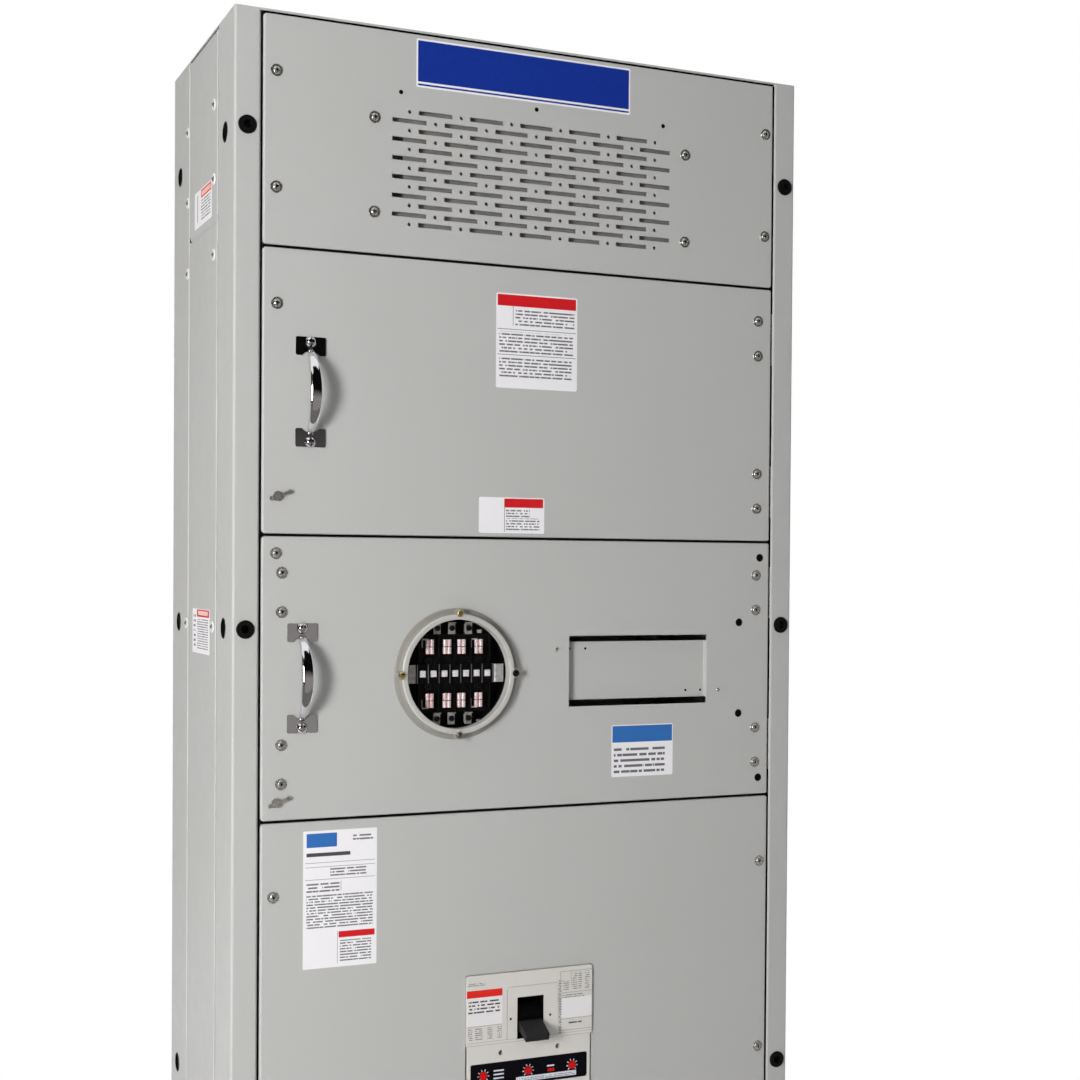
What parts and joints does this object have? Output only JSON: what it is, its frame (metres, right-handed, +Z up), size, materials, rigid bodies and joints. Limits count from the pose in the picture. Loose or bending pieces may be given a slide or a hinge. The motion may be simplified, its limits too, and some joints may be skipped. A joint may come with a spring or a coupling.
{
  "type": "metered switchboard section with main breaker",
  "caption": "Free-standing steel service-entrance section: vented pull box, hinged utility and meter doors with pull handles, plug-in meter socket and moulded-case main breaker",
  "frame": {"origin": "centre of the base, on the floor, at the middle of the floor anchor pattern", "axes": "+X to the right seen from the front, +Y to the rear, +Z up; the front faces -Y"},
  "size_m": [0.9212, 0.4469, 2.286],
  "materials": {
    "cabinet_paint": "satin light grey powder coat",
    "zinc": "bright zinc plate",
    "chrome": "polished chrome plate",
    "black_rubber": "matt black",
    "case": "off-white moulding",
    "black_plastic": "satin black moulding",
    "trip_face": "blue-black face",
    "red_plastic": "red moulding",
    "copper": "bare copper bar",
    "tinned": "tin plate",
    "ring": "satin cast aluminium",
    "insulator": "red-brown moulding"
  },
  "bodies": {
    "cabinet": {"post_front_left": "cabinet_paint", "post_front_right": "cabinet_paint", "post_rear_left": "cabinet_paint", "post_rear_right": "cabinet_paint", "roof_plate": "cabinet_paint", "base_channels": "cabinet_paint", "front_rails": "cabinet_paint", "side_rails": "cabinet_paint", "bus_rails": "cabinet_paint", "side_panel_left": "cabinet_paint", "side_panel_right": "cabinet_paint", "side_cover_left": "cabinet_paint", "side_cover_right": "cabinet_paint", "rear_covers": "cabinet_paint", "vent_panel": "cabinet_paint", "vent_baffle": "cabinet_paint", "breaker_panel": "cabinet_paint", "bottom_panel": "cabinet_paint", "cover_screws": "zinc", "post_bushings": "black_rubber", "compartment_barriers": "cabinet_paint", "hinge_brackets": "zinc", "hinge_pins": "zinc", "breaker_pan": "cabinet_paint", "breaker_case": "case", "breaker_cover": "case", "trip_unit_cover": "trip_face", "breaker_screws": "zinc", "line_lugs": "tinned", "line_bus": "copper", "ct_links": "copper", "load_bus": "copper", "bus_insulators": "insulator", "bus_bolts": "zinc", "load_lugs": "tinned", "neutral_bus": "tinned", "ground_bus": "copper"},
    "utility_door": {"utility_door_skin": "cabinet_paint", "utility_hinge_arms": "zinc", "utility_door_screws": "zinc", "utility_handle_bow": "chrome", "utility_handle_brackets": "chrome"},
    "utility_sealing_latch": {"utility_latch": "zinc"},
    "meter_door": {"meter_door_skin": "cabinet_paint", "meter_hinge_arms": "zinc", "meter_door_screws": "zinc", "meter_handle_bow": "chrome", "meter_handle_brackets": "chrome", "meter_ring": "ring", "meter_ring_screws": "zinc", "socket_block": "black_plastic", "socket_jaws": "tinned", "test_switch_plate": "cabinet_paint"},
    "meter_sealing_latch": {"meter_latch": "zinc"},
    "toggle": {"breaker_toggle": "black_plastic"},
    "dial_1": {"trip_dial_1": "red_plastic"},
    "dial_2": {"trip_dial_2": "red_plastic"},
    "dial_3": {"trip_dial_3": "red_plastic"},
    "test_button": {"trip_test_button": "red_plastic"}
  },
  "joints": [
    {"name": "utility_door_hinge", "type": "hinge", "parent": "cabinet", "child": "utility_door", "pos_m": [0.4305, -0.1952, 1.7526], "axis": [0, 0, 1], "range_deg": [0, 110]},
    {"name": "meter_door_hinge", "type": "hinge", "parent": "cabinet", "child": "meter_door", "pos_m": [0.4305, -0.1952, 1.3462], "axis": [0, 0, 1], "range_deg": [0, 110]},
    {"name": "utility_latch_turn", "type": "hinge", "parent": "utility_door", "child": "utility_sealing_latch", "pos_m": [-0.3932, -0.2032, 1.6041], "axis": [0, 1, 0], "range_deg": [0, 90]},
    {"name": "meter_latch_turn", "type": "hinge", "parent": "meter_door", "child": "meter_sealing_latch", "pos_m": [-0.3932, -0.2032, 1.1702], "axis": [0, 1, 0], "range_deg": [0, 90]},
    {"name": "breaker_toggle_turn", "type": "hinge", "parent": "cabinet", "child": "toggle", "pos_m": [0, -0.1722, 0.827], "axis": [-1, 0, 0], "range_deg": [0, 41]},
    {"name": "trip_dial_1_turn", "type": "hinge", "parent": "cabinet", "child": "dial_1", "pos_m": [-0.0753, -0.2072, 0.7455], "axis": [0, 1, 0], "range_deg": [-135, 135]},
    {"name": "trip_dial_2_turn", "type": "hinge", "parent": "cabinet", "child": "dial_2", "pos_m": [-0.0021, -0.2072, 0.7455], "axis": [0, 1, 0], "range_deg": [-135, 135]},
    {"name": "trip_dial_3_turn", "type": "hinge", "parent": "cabinet", "child": "dial_3", "pos_m": [0.0711, -0.2072, 0.7455], "axis": [0, 1, 0], "range_deg": [-135, 135]},
    {"name": "trip_test_push", "type": "slide", "parent": "cabinet", "child": "test_button", "axis": [0, 1, 0], "range_m": [0, 0.0015], "stiffness_N_per_m": 200}
  ]
}
